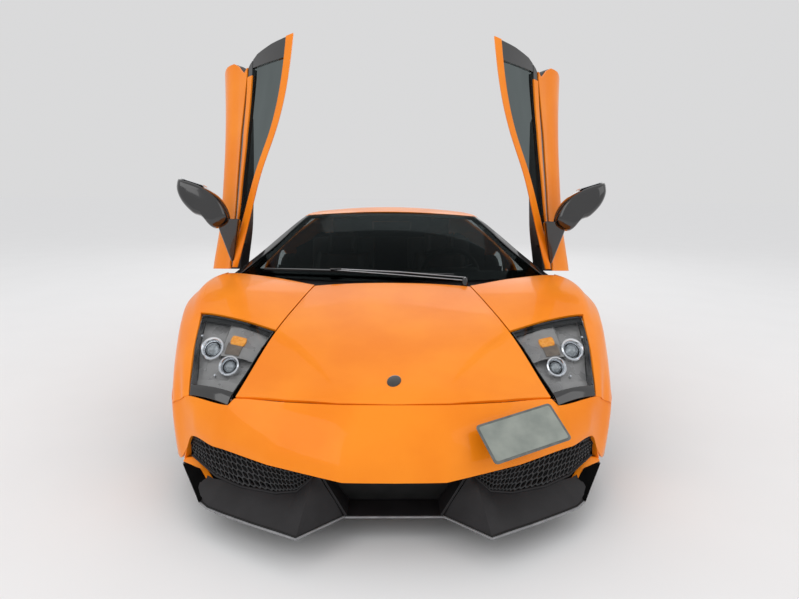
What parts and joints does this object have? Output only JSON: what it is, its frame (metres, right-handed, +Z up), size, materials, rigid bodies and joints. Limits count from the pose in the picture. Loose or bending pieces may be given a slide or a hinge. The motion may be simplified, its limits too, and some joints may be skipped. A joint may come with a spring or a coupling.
{
  "type": "two-seat mid-engined supercar with lifting doors",
  "caption": "Low two-seat mid-engined car with doors that swing up, lifting bonnet and engine cover, steered front wheels and rolling wheels.",
  "frame": {"origin": "on the floor, on the centre line, halfway between nose and tail", "axes": "+Z up, +Y to the rear, +X to the car's left"},
  "size_m": [2.376, 4.705, 2.0227],
  "materials": {
    "paint": "glossy pearl orange",
    "dark_trim": "satin black",
    "lamp_body": "dark chrome and black",
    "clear_lens": "clear",
    "red_lens": "red lens",
    "tinted_glass": "smoked",
    "gloss_black": "gloss black",
    "upholstery": "black with orange stitching",
    "cabin_trim": "black",
    "tyre_rubber": "matt rubber",
    "rim_metal": "satin black",
    "bare_metal": "cast and machined",
    "frame_metal": "matt black",
    "engine_metal": "cast",
    "plate_face": "blank grey plate"
  },
  "bodies": {
    "car": {"front_bumper": "paint", "front_fender_left": "paint", "front_fender_right": "paint", "roof": "paint", "rear_quarter_left": "paint", "rear_quarter_right": "paint", "rear_deck": "paint", "rear_spoiler": "paint", "side_sills": "paint", "front_splitter": "dark_trim", "rear_diffuser": "dark_trim", "rear_fascia": "dark_trim", "front_grilles": "dark_trim", "wiper": "dark_trim", "headlamps": "lamp_body", "headlamp_lenses": "clear_lens", "tail_lamps": "red_lens", "cabin_glass": "tinted_glass", "seats": "upholstery", "dashboard": "cabin_trim", "wishbones": "bare_metal", "rear_uprights": "bare_metal", "exhaust": "bare_metal", "cabin_tub": "frame_metal", "frame_rails": "frame_metal", "engine": "engine_metal", "front_plate": "plate_face"},
    "bonnet_lid": {"bonnet": "paint"},
    "rear_lid": {"engine_cover": "paint"},
    "door_left": {"door_left": "paint", "door_glass_left": "tinted_glass", "mirror_left": "gloss_black"},
    "door_right": {"door_right": "paint", "door_glass_right": "tinted_glass", "mirror_right": "gloss_black"},
    "knuckle_left": {"knuckle_left": "bare_metal"},
    "knuckle_right": {"knuckle_right": "bare_metal"},
    "steering": {"steering_wheel": "cabin_trim"},
    "wheel_front_left": {"tyre_front_left": "tyre_rubber", "rim_front_left": "rim_metal"},
    "wheel_front_right": {"tyre_front_right": "tyre_rubber", "rim_front_right": "rim_metal"},
    "wheel_rear_left": {"tyre_rear_left": "tyre_rubber", "rim_rear_left": "rim_metal"},
    "wheel_rear_right": {"tyre_rear_right": "tyre_rubber", "rim_rear_right": "rim_metal"}
  },
  "joints": [
    {"name": "door_left_lift", "type": "hinge", "parent": "car", "child": "door_left", "pos_m": [0.895, -0.9075, 0.804], "axis": [1, 0, 0], "range_deg": [-82, 0]},
    {"name": "door_right_lift", "type": "hinge", "parent": "car", "child": "door_right", "pos_m": [-0.895, -0.9075, 0.804], "axis": [1, 0, 0], "range_deg": [-82, 0]},
    {"name": "bonnet_lift", "type": "hinge", "parent": "car", "child": "bonnet_lid", "pos_m": [0, -1.1145, 0.762], "axis": [-1, 0, 0], "range_deg": [0, 55]},
    {"name": "engine_cover_lift", "type": "hinge", "parent": "car", "child": "rear_lid", "pos_m": [0, 0.4955, 1.052], "axis": [1, 0, 0], "range_deg": [0, 45]},
    {"name": "steer_left", "type": "hinge", "parent": "car", "child": "knuckle_left", "pos_m": [0.7695, -1.2925, 0.3143], "axis": [0, 0, 1], "range_deg": [-30, 30]},
    {"name": "steer_right", "type": "hinge", "parent": "car", "child": "knuckle_right", "pos_m": [-0.7695, -1.2925, 0.3143], "axis": [0, 0, 1], "range_deg": [-30, 30]},
    {"name": "steering_wheel_turn", "type": "hinge", "parent": "car", "child": "steering", "pos_m": [0.36, -0.5075, 0.745], "axis": [0, -0.9135, -0.4067], "range_deg": [-480, 480]},
    {"name": "spin_front_left", "type": "hinge", "parent": "knuckle_left", "child": "wheel_front_left", "pos_m": [0.8175, -1.2925, 0.3143], "axis": [1, 0, 0], "continuous": true},
    {"name": "spin_front_right", "type": "hinge", "parent": "knuckle_right", "child": "wheel_front_right", "pos_m": [-0.8175, -1.2925, 0.3143], "axis": [1, 0, 0], "continuous": true},
    {"name": "spin_rear_left", "type": "hinge", "parent": "car", "child": "wheel_rear_left", "pos_m": [0.8475, 1.3725, 0.3291], "axis": [1, 0, 0], "continuous": true},
    {"name": "spin_rear_right", "type": "hinge", "parent": "car", "child": "wheel_rear_right", "pos_m": [-0.8475, 1.3725, 0.3291], "axis": [1, 0, 0], "continuous": true}
  ],
  "couplings": [
    {"joint": "steer_right", "follows": "steer_left", "ratio": 1},
    {"joint": "steering_wheel_turn", "follows": "steer_left", "ratio": 16}
  ]
}
